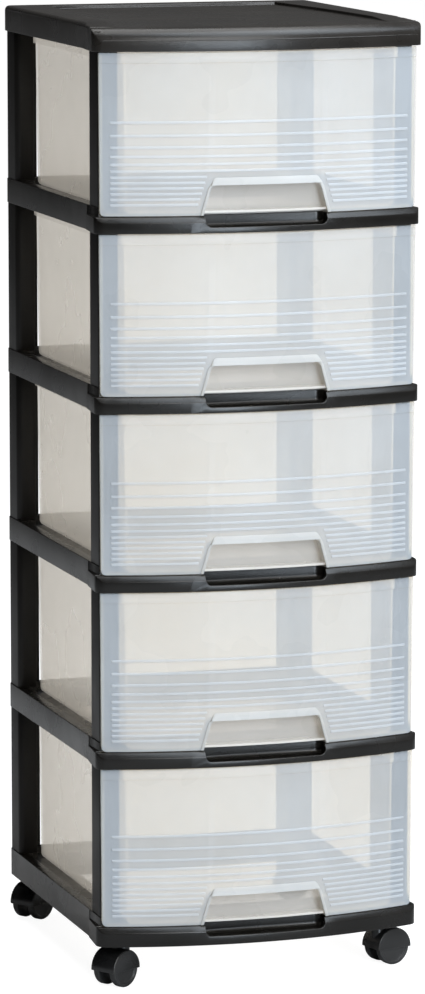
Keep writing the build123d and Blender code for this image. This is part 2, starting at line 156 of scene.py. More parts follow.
def new_material(name):
    """A node material, its tree and its Principled shader."""
    material = bpy.data.materials.new(name)
    material.use_nodes = True
    shader = material.node_tree.nodes["Principled BSDF"]
    return material, material.node_tree, shader


def add_node(tree, kind, **inputs):
    """A node of this kind with its inputs set by name."""
    node = tree.nodes.new(kind)
    for key, value in inputs.items():
        node.inputs[key.replace("_", " ")].default_value = value
    return node


def remap(tree, source, given, wanted=(0.0, 1.0), ease="LINEAR"):
    """Maps a value from one range to another."""
    span = tree.nodes.new("ShaderNodeMapRange")
    span.interpolation_type = ease
    span.inputs["From Min"].default_value, span.inputs["From Max"].default_value = given
    span.inputs["To Min"].default_value, span.inputs["To Max"].default_value = wanted
    tree.links.new(source, span.inputs["Value"])
    return span.outputs["Result"]


def combine(tree, operation, first, second):
    """Adds or multiplies two values."""
    both = tree.nodes.new("ShaderNodeMath")
    both.operation = operation
    tree.links.new(first, both.inputs[0])
    tree.links.new(second, both.inputs[1])
    return both.outputs["Value"]


def blend(tree, low, high, amount):
    """Blends from one colour to another; the first may be a socket or a colour."""
    mix = tree.nodes.new("ShaderNodeMix")
    mix.data_type = "RGBA"
    if isinstance(low, bpy.types.NodeSocket):
        tree.links.new(low, mix.inputs["A"])
    else:
        mix.inputs["A"].default_value = opaque(low)
    mix.inputs["B"].default_value = opaque(high)
    tree.links.new(amount, mix.inputs["Factor"])
    return mix.outputs["Result"]


def split_by_camera(tree, seen, elsewhere, output):
    """Shows one shader to the camera and lets the other act on everything else."""
    path = tree.nodes.new("ShaderNodeLightPath")
    mix = tree.nodes.new("ShaderNodeMixShader")
    tree.links.new(path.outputs["Is Camera Ray"], mix.inputs["Fac"])
    tree.links.new(elsewhere, mix.inputs[1])
    tree.links.new(seen, mix.inputs[2])
    tree.links.new(mix.outputs["Shader"], tree.nodes[output].inputs["Surface"])


def new_group(name, inputs, outputs):
    """An empty node group with these sockets, each given as name and kind."""
    group = bpy.data.node_groups.new(name, "ShaderNodeTree")
    for label, kind in inputs:
        group.interface.new_socket(label, in_out="INPUT", socket_type="NodeSocket" + kind)
    for label, kind in outputs:
        group.interface.new_socket(label, in_out="OUTPUT", socket_type="NodeSocket" + kind)
    return group, group.nodes.new("NodeGroupInput"), group.nodes.new("NodeGroupOutput")


def grain_group(name):
    """Moulded grain: a fine height, streaks along X and a slow cloud, all on Object coordinates."""
    group, given, result = new_group(
        name, [("Fine", "Float"), ("Slow", "Float")], [("Height", "Float"), ("Cloud", "Float")]
    )
    link = group.links.new
    place = group.nodes.new("ShaderNodeTexCoord")
    fine = add_node(group, "ShaderNodeTexNoise", Detail=3.0, Roughness=0.6)
    link(place.outputs["Object"], fine.inputs["Vector"])
    link(given.outputs["Fine"], fine.inputs["Scale"])
    stretch = add_node(group, "ShaderNodeMapping", Scale=(0.12, 1.0, 1.0))
    link(place.outputs["Object"], stretch.inputs["Vector"])
    streak = add_node(group, "ShaderNodeTexNoise", Detail=2.0)
    link(stretch.outputs["Vector"], streak.inputs["Vector"])
    link(given.outputs["Fine"], streak.inputs["Scale"])
    link(combine(group, "ADD", fine.outputs["Fac"], streak.outputs["Fac"]), result.inputs["Height"])
    slow = add_node(group, "ShaderNodeTexNoise", Detail=3.0)
    link(place.outputs["Object"], slow.inputs["Vector"])
    link(given.outputs["Slow"], slow.inputs["Scale"])
    link(slow.outputs["Fac"], result.inputs["Cloud"])
    return group


def edge_group(name):
    """Mask of lighter edges, part wear and part painted highlight: where the surface turns within the given
    radius, broken up by noise.
    """
    group, given, result = new_group(name, [("Radius", "Float")], [("Mask", "Float")])
    link = group.links.new
    rounded = group.nodes.new("ShaderNodeBevel")
    rounded.samples = 4
    link(given.outputs["Radius"], rounded.inputs["Radius"])
    surface = group.nodes.new("ShaderNodeNewGeometry")
    turn = group.nodes.new("ShaderNodeVectorMath")
    turn.operation = "DOT_PRODUCT"
    link(rounded.outputs["Normal"], turn.inputs[0])
    link(surface.outputs["Normal"], turn.inputs[1])
    edge = remap(group, turn.outputs["Value"], given=(0.995, 0.90))
    place = group.nodes.new("ShaderNodeTexCoord")
    patch = add_node(group, "ShaderNodeTexNoise", Scale=45.0, Detail=4.0)
    link(place.outputs["Object"], patch.inputs["Vector"])
    uneven = remap(group, patch.outputs["Fac"], given=(0.35, 0.65), wanted=(0.25, 1.0))
    link(combine(group, "MULTIPLY", edge, uneven), result.inputs["Mask"])
    return group


EFFECTS = {"moulded_grain": grain_group, "rubbed_edges": edge_group}


def effect(tree, name, **inputs):
    """A shared effect placed in a material: its group is made once."""
    node = tree.nodes.new("ShaderNodeGroup")
    node.node_tree = bpy.data.node_groups.get(name) or EFFECTS[name](name)
    for key, value in inputs.items():
        node.inputs[key].default_value = value
    return node


# The part of a noise's range that is used, and how far gloss and cover wander with it.
NOISE_RANGE = (0.15, 0.85)
GLOSS_BELOW = 0.05
GLOSS_ABOVE = 0.06
MILKY_GLOSS_BELOW = 0.04
MILKY_GLOSS_ABOVE = 0.05
COVER_WANDER = 0.02
BLACK_MOTTLE = 1.7
MILKY_DARKER = 0.96
MILKY_LIGHTER = 1.03
MILKY_SPECULAR = 0.35
# Colour of the painted glow of the milky walls.
PAINTED_WALL_GLOW = (1.0, 0.95, 0.88)
# Radius of the lighter edges, part wear and part painted highlight.
EDGE_WEAR_AND_HIGHLIGHT_RADIUS = 1.1 * MM
GRAIN_DEPTH = 0.25 * MM


def wander(tree, grain, low, high):
    """Spreads the grain's slow cloud over the range from low to high."""
    return remap(tree, grain.outputs["Cloud"], NOISE_RANGE, (low, high), "SMOOTHERSTEP")


def grain_bump(tree, grain, strength):
    """Bump from the moulded grain."""
    bump = add_node(tree, "ShaderNodeBump", Strength=strength, Distance=GRAIN_DEPTH)
    tree.links.new(grain.outputs["Height"], bump.inputs["Height"])
    return bump.outputs["Normal"]


def black_plastic(name, colour, worn, roughness, grain_strength, specular):
    """Moulded black plastic: fine grain, uneven gloss, and edges made lighter, part by wear and part by
    painted highlight.
    """
    material, tree, shader = new_material(name)
    link = tree.links.new
    grain = effect(tree, "moulded_grain", Fine=850.0, Slow=16.0)
    edges = effect(tree, "rubbed_edges", Radius=EDGE_WEAR_AND_HIGHLIGHT_RADIUS)
    paler = [BLACK_MOTTLE * channel for channel in colour]
    mottle = blend(tree, colour, paler, wander(tree, grain, 0.0, 1.0))
    # The edges are painted lighter: part wear, part painted highlight.
    link(blend(tree, mottle, worn, edges.outputs["Mask"]), shader.inputs["Base Color"])
    gloss = wander(tree, grain, roughness - GLOSS_BELOW, roughness + GLOSS_ABOVE)
    link(gloss, shader.inputs["Roughness"])
    link(grain_bump(tree, grain, grain_strength), shader.inputs["Normal"])
    shader.inputs["Specular IOR Level"].default_value = specular
    return material


def milky_plastic(name, colour, cover, passed, glow=0.0, roughness=0.28):
    """Thin milky polypropylene: each face scatters by its cover and passes the rest, tinted.

    The glow is painted light: an emission that stands in for light that has wandered inside the thin walls
    and comes out everywhere.
    """
    material, tree, shader = new_material(name)
    link = tree.links.new
    grain = effect(tree, "moulded_grain", Fine=300.0, Slow=9.0)
    darker = [MILKY_DARKER * channel for channel in colour]
    lighter = [min(1.0, MILKY_LIGHTER * channel) for channel in colour]
    link(blend(tree, darker, lighter, wander(tree, grain, 0.0, 1.0)), shader.inputs["Base Color"])
    gloss = wander(tree, grain, roughness - MILKY_GLOSS_BELOW, roughness + MILKY_GLOSS_ABOVE)
    link(gloss, shader.inputs["Roughness"])
    shader.inputs["Specular IOR Level"].default_value = MILKY_SPECULAR
    # Painted glow: the walls give out this light whatever the lamps do.
    shader.inputs["Emission Color"].default_value = opaque(PAINTED_WALL_GLOW)
    shader.inputs["Emission Strength"].default_value = glow
    clear = add_node(tree, "ShaderNodeBsdfTransparent", Color=opaque(passed))
    film = tree.nodes.new("ShaderNodeMixShader")
    link(wander(tree, grain, cover - COVER_WANDER, cover + COVER_WANDER), film.inputs["Fac"])
    link(clear.outputs["BSDF"], film.inputs[1])
    link(shader.outputs["BSDF"], film.inputs[2])
    link(film.outputs["Shader"], tree.nodes["Material Output"].inputs["Surface"])
    return material


def plated_steel(name, colour):
    """Zinc plated pin with fine turning marks."""
    material, tree, shader = new_material(name)
    grain = effect(tree, "moulded_grain", Fine=600.0, Slow=40.0)
    shader.inputs["Base Color"].default_value = opaque(colour)
    shader.inputs["Metallic"].default_value = 1.0
    tree.links.new(wander(tree, grain, 0.28, 0.42), shader.inputs["Roughness"])
    tree.links.new(grain_bump(tree, grain, 0.1), shader.inputs["Normal"])
    return material


# ---- Modelling helpers ----

# In millimetres and degrees.
MERGE_DISTANCE = 0.01
FLAT_ANGLE = 0.6
COPY_SHARP_ANGLE = 30.0
COPY_SMOOTH_ANGLE = 34.0


def deselect():
    """Leaves edit mode and selects nothing."""
    if bpy.context.object and bpy.context.object.mode != "OBJECT":
        bpy.ops.object.mode_set(mode="OBJECT")
    bpy.ops.object.select_all(action="DESELECT")


def only(piece):
    """Selects this object alone and makes it active."""
    deselect()
    piece.select_set(True)
    bpy.context.view_layer.objects.active = piece


def block(name, low, high):
    """A box between two corners, in millimetres, whose object sits at the origin."""
    deselect()
    low, high = Vector(low) * MM, Vector(high) * MM
    bpy.ops.mesh.primitive_cube_add(size=1.0, location=(low + high) / 2)
    piece = bpy.context.object
    piece.name = name
    piece.scale = high - low
    bpy.ops.object.transform_apply(location=True, rotation=True, scale=True)
    return piece


def choose(piece, test, kind):
    """Opens the piece for editing with only the edges or faces that pass the test selected."""
    only(piece)
    bpy.ops.object.mode_set(mode="EDIT")
    bpy.ops.mesh.select_mode(type={"edges": "EDGE", "faces": "FACE"}[kind])
    bpy.ops.mesh.select_all(action="DESELECT")
    mesh = bmesh.from_edit_mesh(piece.data)
    count = 0
    for element in getattr(mesh, kind):
        hit = test(element)
        element.select_set(hit)
        count += hit
    bmesh.update_edit_mesh(piece.data)
    if not count:
        raise RuntimeError("nothing selected on " + piece.name)


def middle(element):
    """Middle of an edge or a face, in millimetres."""
    return sum((corner.co for corner in element.verts), Vector()) / len(element.verts) / MM


def move_points(piece, rule):
    """Moves each vertex by a rule that takes and gives millimetres."""
    for vertex in piece.data.vertices:
        vertex.co = rule(vertex.co / MM) * MM


def slice_across(piece, places, axis=0):
    """Cuts new edge loops through the piece, square to one axis."""
    only(piece)
    bpy.ops.object.mode_set(mode="EDIT")
    normal = [0.0, 0.0, 0.0]
    normal[axis] = 1.0
    for place in places:
        bpy.ops.mesh.select_all(action="SELECT")
        point = [0.0, 0.0, 0.0]
        point[axis] = place * MM
        bpy.ops.mesh.bisect(plane_co=point, plane_no=normal)
    bpy.ops.object.mode_set(mode="OBJECT")


def soften(piece, width, segments=2, angle=35.0, arcs=False):
    """Rounds the piece's sharp edges by a bevel, in millimetres, with arcs where edges meet if asked."""
    only(piece)
    bevel = piece.modifiers.new("soft_edges", "BEVEL")
    bevel.width = width * MM
    bevel.segments = segments
    bevel.limit_method = "ANGLE"
    bevel.angle_limit = math.radians(angle)
    bevel.harden_normals = False
    if arcs:
        bevel.use_clamp_overlap = False
        bevel.miter_outer = "MITER_ARC"
    bpy.ops.object.modifier_apply(modifier=bevel.name)


def thicken(piece, amount, side=-1.0):
    """Gives a surface its wall, in millimetres: side -1 grows inwards, +1 outwards."""
    only(piece)
    wall = piece.modifiers.new("wall", "SOLIDIFY")
    wall.thickness = amount * MM
    wall.offset = side
    wall.use_even_offset = True
    bpy.ops.object.modifier_apply(modifier=wall.name)


def cut_with(piece, cutter):
    """Cuts the cutter's shape out of the piece and deletes the cutter."""
    only(piece)
    cut = piece.modifiers.new("cut", "BOOLEAN")
    cut.operation = "DIFFERENCE"
    cut.solver = "EXACT"
    cut.object = cutter
    bpy.ops.object.modifier_apply(modifier=cut.name)
    bpy.data.objects.remove(cutter)


def join(pieces, name):
    """One object from several."""
    deselect()
    for piece in pieces:
        piece.select_set(True)
    bpy.context.view_layer.objects.active = pieces[0]
    bpy.ops.object.join()
    bpy.context.object.name = name
    return bpy.context.object


def smooth(piece, angle=32.0):
    """Shades the piece smooth, up to this angle in degrees between faces."""
    only(piece)
    bpy.ops.object.shade_smooth_by_angle(angle=math.radians(angle))


def bow_y(x, radius_back):
    """Y, in millimetres, of a bowed surface this far behind the apron, at this x."""
    radius = BOW_RADIUS - radius_back
    return BOW_AXIS_Y - math.sqrt(radius**2 - x**2)


def bow(piece, radius_back):
    """Bends a flat piece about the bow axis: its y = 0 plane lands this far behind the apron."""
    move_points(piece, lambda p: Vector((p.x, p.y + bow_y(p.x, radius_back), p.z)))


def copy_piece(piece, name, rise=0.0):
    """A copy with its own mesh, raised by this many metres."""
    made = bpy.data.objects.new(name, piece.data.copy())
    bpy.context.scene.collection.objects.link(made)
    made.data.transform(Matrix.Translation((0, 0, rise)))
    return made


def middle_planes(name):
    """Planes through the middle of a carried-over piece, as axis and place in millimetres."""
    low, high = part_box(name)
    return [(axis, (low[axis] + high[axis]) / 2 / MM) for axis in range(3)]


def refined_copy(name, width, segments=2, cutters=(), planes=()):
    """A copy of a carried-over piece: trimmed, its flat faces merged, its edges softly rounded.

    The planes are marked as seams, so that a face with a hole in it isn't merged all round the hole.
    """
    piece = copy_piece(NODES[name], name + "_moulding")
    only(piece)
    bpy.ops.object.mode_set(mode="EDIT")
    bpy.ops.mesh.select_all(action="SELECT")
    bpy.ops.mesh.remove_doubles(threshold=MERGE_DISTANCE * MM)
    bpy.ops.object.mode_set(mode="OBJECT")
    for cutter in cutters:
        cut_with(piece, cutter)
    only(piece)
    bpy.ops.object.mode_set(mode="EDIT")
    for axis, at in planes or middle_planes(name):
        point, normal = Vector(), Vector()
        point[axis], normal[axis] = at * MM, 1.0
        bpy.ops.mesh.select_all(action="SELECT")
        bpy.ops.mesh.bisect(plane_co=point, plane_no=normal)
        bpy.ops.mesh.mark_seam()
    bpy.ops.mesh.select_all(action="SELECT")
    bpy.ops.mesh.dissolve_limited(angle_limit=math.radians(FLAT_ANGLE), delimit={"SEAM"})
    bpy.ops.object.mode_set(mode="OBJECT")
    soften(piece, width, segments, COPY_SHARP_ANGLE, arcs=True)
    smooth(piece, COPY_SMOOTH_ANGLE)
    return piece


def paint(piece, material):
    """Gives the piece this one material."""
    piece.data.materials.clear()
    piece.data.materials.append(material)


def place(piece, body, slot, replaced):
    """Attaches the piece to the body it rides on and hides the part it stands for. The slot is not used."""
    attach(piece, body)
    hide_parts(replaced)


# ---- Drawer ----

# Heights are above the underside of the tray that carries the drawer. PANEL_BACK is measured from the
# apron's front, the front's other depths from the panel's face, and the tub's and rim's along Y.
TRAY_HIGH = 24.5
BOW_SLICES = 48
GRIP_SLICES = 20
TUB_SLICES = 32

PANEL_BACK = 4.25
PANEL_THICK = 2.5
PANEL_LOW = 16.5
PANEL_HIGH = 171.0
PANEL_MIDDLE = (PANEL_LOW + PANEL_HIGH) / 2
PANEL_HALF = 158.8
PANEL_HALF_LOW = 157.8
PANEL_CORNER = 4.5
PANEL_EDGE = 0.5
BAND_HEIGHT = 10.0
BAND_PROUD = 0.8

LIP_WIDTH = 3.0
LIP_FRONT = 2.3
LIP_BACK = 3.9
LIP_EDGE = 0.3
LIP_CORNER_GAP = 5.0
LIP_TOP_GAP = 2.0
LIP_NOTCH_GAP = 2.5

RIB_STEPS = (5.2, 5.2, 5.2, 5.2, 5.4, 5.8, 6.4, 7.4, 8.8, 11.0, 12.6)
FIRST_RIB = 26.0
RIB_HALF = 149.0
RIB_PROUD = 0.7
RIB_ROOT = 0.5
RIB_BELOW = 0.5
RIB_ABOVE = 2.2
RIB_EDGE = 0.55
RIB_GAP = 7.0
HOOD_CLEARANCE = 3.0

NOTCH_FOOT_HALF = 63.0
NOTCH_HEAD_HALF = 54.0
NOTCH_HIGH = 45.5
NOTCH_CORNER = 5.0
NOTCH_OVERCUT = 3.0
NOTCH_CUT_FRONT = -5.0
NOTCH_CUT_BACK = 9.0
BEAD_WIDTH = 2.2
BEAD_FRONT = -1.2
BEAD_BACK = 0.6
BEAD_CORNER = 7.0
BEAD_EDGE = 0.5
BEAD_BEND_HALF = NOTCH_FOOT_HALF + 3.0
HOOD_HIGH = 52.5
HOOD_LAP = 0.2
HOOD_PROUD = 4.0
HOOD_BACK = 0.8
HOOD_FOOT_WIDER = 1.5
HOOD_HEAD_NARROWER = 2.5
HOOD_CORNER = 2.5
HOOD_EDGE = 0.6
POCKET_FRONT = 0.5
POCKET_BACK = 14.0
POCKET_CORNER = 6.0
POCKET_EDGE = 3.0
POCKET_WALL = 2.0

TUB_FLOOR = 19.0
TUB_HALF = 134.6
TUB_FRONT = -176.0
TUB_BACK = 151.0
TUB_WALL = 2.0
TUB_CORNER = 5.0
TUB_DRAFT = math.tan(math.radians(0.6))
TUB_SPREAD = (PANEL_HIGH - TUB_FLOOR) * TUB_DRAFT
# In square metres: more than any strip of the rim and less than the tub's mouth.
TUB_MOUTH_AREA = 0.02
PANEL_LAP = 0.4
FRONT_END = TUB_FRONT + 10.0
RIM_TOP = PANEL_HIGH - 0.1
RIM_HALF = 138.2
RIM_BACK = 165.0
RIM_CORNER = 6.0
RIM_INSET = 2.9
RIM_WALL = 1.7
RIM_EDGE = 0.4
RIM_LAP = 1.8
FLANGE_LOW = PANEL_HIGH - 1.9
FLANGE_BACK = 9.0
# Slack in the tests that find a point or an edge by its place.
HAIR = 0.1


def runs_along(edge, axis):
    """Whether an edge of a block runs along this axis."""
    return abs(edge.verts[0].co[axis] - edge.verts[1].co[axis]) > MM


def trapezoid(name, low_half, high_half, low, high, front, back, corner):
    """A flat prism, trapezoid from the front, with rounded upper corners."""
    prism = block(name, (-1.0, front, low), (1.0, back, high))

    def widen(p):
        half = high_half if p.z > (low + high) / 2 else low_half
        return Vector((math.copysign(half, p.x), p.y, p.z))

    move_points(prism, widen)
    choose(prism, lambda e: runs_along(e, 1) and middle(e).z > high - 1, "edges")
    bpy.ops.mesh.bevel(offset=corner * MM, segments=6, affect="EDGES")
    bpy.ops.object.mode_set(mode="OBJECT")
    return prism


def slices(half, count=BOW_SLICES):
    """Evenly spread places across a width, where a piece is cut so that it can bend."""
    return [-half + 2 * half * (k + 0.5) / count for k in range(count)]


def notch_block(name):
    """A block with the notch's outline that reaches through the panel."""
    return trapezoid(
        name,
        NOTCH_FOOT_HALF,
        NOTCH_HEAD_HALF,
        PANEL_LOW - NOTCH_OVERCUT,
        NOTCH_HIGH,
        NOTCH_CUT_FRONT,
        NOTCH_CUT_BACK,
        NOTCH_CORNER,
    )


def make_panel():
    """Flat front panel with its thick top band and the grip's notch."""
    panel = block("panel", (-PANEL_HALF, 0, PANEL_LOW), (PANEL_HALF, PANEL_THICK, PANEL_HIGH))
    move_points(
        panel,
        lambda p: p if p.z > PANEL_MIDDLE else Vector((math.copysign(PANEL_HALF_LOW, p.x), p.y, p.z)),
    )
    band_low = PANEL_HIGH - BAND_HEIGHT
    slice_across(panel, [band_low], axis=2)
    choose(panel, lambda f: f.normal.y < -0.9 and middle(f).z > band_low, "faces")
    bpy.ops.mesh.extrude_region_move(TRANSFORM_OT_translate={"value": (0, -BAND_PROUD * MM, 0)})
    bpy.ops.object.mode_set(mode="OBJECT")
    choose(panel, lambda e: runs_along(e, 1) and middle(e).z < PANEL_LOW + 1, "edges")
    bpy.ops.mesh.bevel(offset=PANEL_CORNER * MM, segments=6, affect="EDGES")
    bpy.ops.object.mode_set(mode="OBJECT")
    cut_with(panel, notch_block("notch"))
    soften(panel, PANEL_EDGE)
    slice_across(panel, slices(PANEL_HALF))
    bow(panel, PANEL_BACK)
    return panel


def make_edge_lips():
    """Short lips behind the panel's sides and lower edge."""
    lips = []
    for side in (-1, 1):
        inner, outer = sorted((side * (PANEL_HALF_LOW - LIP_WIDTH), side * PANEL_HALF_LOW))
        upright = block(
            "lip",
            (inner, LIP_FRONT, PANEL_LOW + LIP_CORNER_GAP),
            (outer, LIP_BACK, PANEL_HIGH - LIP_TOP_GAP),
        )
        inner, outer = sorted(
            (side * (NOTCH_FOOT_HALF + LIP_NOTCH_GAP), side * (PANEL_HALF_LOW - LIP_CORNER_GAP))
        )
        level = block("lip", (inner, LIP_FRONT, PANEL_LOW), (outer, LIP_BACK, PANEL_LOW + LIP_WIDTH))
        slice_across(level, slices(PANEL_HALF))
        lips += [upright, level]
    made = join(lips, "lips")
    soften(made, LIP_EDGE)
    bow(made, PANEL_BACK)
    return made


def make_ribs():
    """Horizontal ribs on the lower half of the panel, stopped short round the grip."""
    ribs = []
    height = FIRST_RIB
    for step in (*RIB_STEPS, 0.0):
        spans = [(-RIB_HALF, RIB_HALF)]
        if height < HOOD_HIGH + HOOD_CLEARANCE:
            slope = (NOTCH_FOOT_HALF - NOTCH_HEAD_HALF) / (NOTCH_HIGH - PANEL_LOW)
            inner = NOTCH_FOOT_HALF - slope * (height - PANEL_LOW) + RIB_GAP
            spans = [(-RIB_HALF, -inner), (inner, RIB_HALF)]
        for low, high in spans:
            rib = block("rib", (low, -RIB_PROUD, height - RIB_BELOW), (high, RIB_ROOT, height + RIB_ABOVE))
            soften(rib, RIB_EDGE, 4)
            slice_across(rib, slices(RIB_HALF))
            ribs.append(rib)
        height += step
    made = join(ribs, "ribs")
    bow(made, PANEL_BACK)
    return made


def make_bead():
    """Bead round the notch."""
    bead = trapezoid(
        "bead",
        NOTCH_FOOT_HALF + BEAD_WIDTH,
        NOTCH_HEAD_HALF + BEAD_WIDTH,
        PANEL_LOW,
        NOTCH_HIGH + BEAD_WIDTH,
        BEAD_FRONT,
        BEAD_BACK,
        BEAD_CORNER,
    )
    cut_with(bead, notch_block("hole"))
    soften(bead, BEAD_EDGE)
    slice_across(bead, slices(BEAD_BEND_HALF, GRIP_SLICES))
    bow(bead, PANEL_BACK)
    return bead


def make_hood():
    """Hood over the notch, which leans out towards its lower edge."""
    foot = NOTCH_HIGH - HOOD_LAP
    hood = trapezoid(
        "hood",
        NOTCH_HEAD_HALF + HOOD_FOOT_WIDER,
        NOTCH_HEAD_HALF - HOOD_HEAD_NARROWER,
        foot,
        HOOD_HIGH,
        -HOOD_PROUD,
        HOOD_BACK,
        HOOD_CORNER,
    )

    def lean(p):
        share = (HOOD_HIGH - p.z) / (HOOD_HIGH - NOTCH_HIGH)
        return Vector((p.x, p.y if p.y > 0 else p.y * share, p.z))

    move_points(hood, lean)
    soften(hood, HOOD_EDGE)
    slice_across(hood, slices(NOTCH_FOOT_HALF, GRIP_SLICES))
    bow(hood, PANEL_BACK)
    return hood


def make_pocket():
    """Set-back pocket behind the notch, open at the front and below."""
    pocket = trapezoid(
        "pocket",
        NOTCH_FOOT_HALF,
        NOTCH_HEAD_HALF,
        PANEL_LOW,
        NOTCH_HIGH,
        POCKET_FRONT,
        POCKET_BACK,
        POCKET_CORNER,
    )
    choose(pocket, lambda f: f.normal.y < -0.9 or f.normal.z < -0.9, "faces")
    bpy.ops.mesh.delete(type="FACE")
    bpy.ops.object.mode_set(mode="OBJECT")
    choose(pocket, lambda e: middle(e).y > POCKET_BACK - HAIR and len(e.link_faces) == 2, "edges")
    bpy.ops.mesh.bevel(offset=POCKET_EDGE * MM, segments=4, affect="EDGES")
    bpy.ops.object.mode_set(mode="OBJECT")
    slice_across(pocket, slices(NOTCH_FOOT_HALF, GRIP_SLICES))
    thicken(pocket, POCKET_WALL, side=1.0)
    bow(pocket, PANEL_BACK)
    return pocket


def meet_panel(piece):
    """Moves the piece's front end to just inside the back of the bowed panel."""
    move_points(
        piece,
        lambda p: p
        if p.y > FRONT_END
        else Vector((p.x, bow_y(p.x, PANEL_BACK + PANEL_THICK - PANEL_LAP), p.z)),
    )


def make_tub():
    """Tapered tub behind the panel, open on top and at the front."""
    tub = block("tub", (-TUB_HALF, TUB_FRONT, TUB_FLOOR), (TUB_HALF, TUB_BACK, PANEL_HIGH))

    def taper(p):
        if p.z < PANEL_MIDDLE:
            return p
        return Vector((p.x + math.copysign(TUB_SPREAD, p.x), p.y + (TUB_SPREAD if p.y > 0 else 0), p.z))

    move_points(tub, taper)
    choose(tub, lambda f: f.normal.z > 0.9 or f.normal.y < -0.9, "faces")
    bpy.ops.mesh.delete(type="FACE")
    bpy.ops.object.mode_set(mode="OBJECT")
    choose(tub, lambda e: len(e.link_faces) == 2, "edges")
    bpy.ops.mesh.bevel(offset=TUB_CORNER * MM, segments=4, affect="EDGES")
    bpy.ops.object.mode_set(mode="OBJECT")
    slice_across(tub, slices(TUB_HALF, TUB_SLICES))
    thicken(tub, TUB_WALL)
    meet_panel(tub)
    return tub


def make_rim():
    """Turned-down rim round the tub's sides and back, joined to the top of its walls."""
    rim = block("rim", (-RIM_HALF, TUB_FRONT, RIM_TOP - BAND_HEIGHT), (RIM_HALF, RIM_BACK, RIM_TOP))
    choose(rim, lambda e: runs_along(e, 2) and middle(e).y > 0, "edges")
    bpy.ops.mesh.bevel(offset=RIM_CORNER * MM, segments=6, affect="EDGES")
    bpy.ops.object.mode_set(mode="OBJECT")
    choose(rim, lambda f: f.normal.z > 0.9, "faces")
    bpy.ops.mesh.inset(thickness=RIM_INSET * MM, depth=0)
    bpy.ops.object.mode_set(mode="OBJECT")

    def reach_wall(p):
        top = p.z > RIM_TOP - 1
        behind = RIM_BACK - 2 * RIM_CORNER < p.y < RIM_BACK - RIM_INSET + HAIR
        if top and behind and abs(p.x) < RIM_HALF - RIM_INSET + HAIR:
            return Vector((p.x, TUB_BACK + TUB_SPREAD - RIM_LAP, p.z))
        return p

    def is_open(face):
        if face.normal.z < -0.9 or face.normal.y < -0.9:
            return True
        at = middle(face)
        mouth = abs(at.x) < NOTCH_FOOT_HALF and face.calc_area() > TUB_MOUTH_AREA
        return face.normal.z > 0.9 and (mouth or at.y < TUB_FRONT + RIM_INSET)

    move_points(rim, reach_wall)
    choose(rim, is_open, "faces")
    bpy.ops.mesh.delete(type="FACE")
    bpy.ops.object.mode_set(mode="OBJECT")
    thicken(rim, RIM_WALL)
    soften(rim, RIM_EDGE)
    meet_panel(rim)
    return rim


def make_flange():
    """Flat flange from the top of the panel to the tub's opening."""
    flange = block(
        "flange", (-RIM_HALF, PANEL_THICK - PANEL_LAP, FLANGE_LOW), (RIM_HALF, FLANGE_BACK, RIM_TOP)
    )
    soften(flange, RIM_EDGE)
    slice_across(flange, slices(RIM_HALF, TUB_SLICES))
    bow(flange, PANEL_BACK)
    return flange


# Tint of the light that passes through the ribs, the grip and the edges.
THICK_PASSES = (0.97, 0.93, 0.86)


class BuildDrawers(bpy.types.Operator):
    """Models one drawer and sets a copy of it on every level"""

    bl_idname = "tower.build_drawers"
    bl_label = "Build the drawers"

    def execute(self, context):
        finish = context.scene.tower_finish
        front = milky_plastic("drawer_front", finish.front, cover=0.34, passed=(0.955, 0.885, 0.76))
        rib = milky_plastic("drawer_rib", finish.front, cover=0.36, passed=THICK_PASSES)
        thick = milky_plastic("drawer_thick", finish.thick, cover=0.38, passed=THICK_PASSES)
        # The pocket's darker grey is painted shade of the recess.
        inner = milky_plastic("drawer_pocket", finish.pocket, cover=0.42, passed=(0.97, 0.95, 0.92))
        # The tub's walls carry a painted glow.
        tub = milky_plastic("drawer_tub", finish.tub, cover=0.38, passed=(0.99, 0.98, 0.965), glow=0.19)
        painted = (
            (front, [make_panel()]),
            (rib, [make_ribs()]),
            (thick, [make_edge_lips(), make_bead(), make_hood()]),
            (inner, [make_pocket()]),
            (tub, [make_tub(), make_rim(), make_flange()]),
        )
        for material, pieces in painted:
            for piece in pieces:
                paint(piece, material)
        master = join([piece for material, pieces in painted for piece in pieces], "drawer_master")
        smooth(master)
        for level in LEVELS:
            name = "drawer_" + str(level)
            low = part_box("tray_" + str(level))[1].z - TRAY_HIGH * MM
            made = copy_piece(master, name + "_moulding", low)
            place(made, name, "drawer_clear", name)
        bpy.data.objects.remove(master)
        return {"FINISHED"}


# ---- Trays, cover and uprights ----

# Planes through the openings, cells and sockets of the trays and the cover, in millimetres.
PLANES_ACROSS = (-148.3, -75.0, 75.0, 148.3)
PLANES_ALONG = (-129.5, 20.0, 163.2)
SHELL_PLANES = (*((0, x) for x in PLANES_ACROSS), *((1, y) for y in PLANES_ALONG))
SIDE_HALF = 158.4
SHELF_DROP = 8.8
SHOULDER_FRONT = -152.0
SHOULDER_BACK = -111.0
SHOULDER_OVERCUT = 20.0
SHOULDER_RISE = 5.0


def shoulder_cutters(tray):
    """Blocks that trim a tray's front corners, above the apron's shelf, flush with its sides."""
    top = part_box(tray)[1].z / MM
    cutters = []
    for side in (-1, 1):
        inner, outer = sorted((side * SIDE_HALF, side * (SIDE_HALF + SHOULDER_OVERCUT)))
        low = (inner, SHOULDER_FRONT, top - SHELF_DROP)
        cutters.append(block("shoulder", low, (outer, SHOULDER_BACK, top + SHOULDER_RISE)))
    return cutters


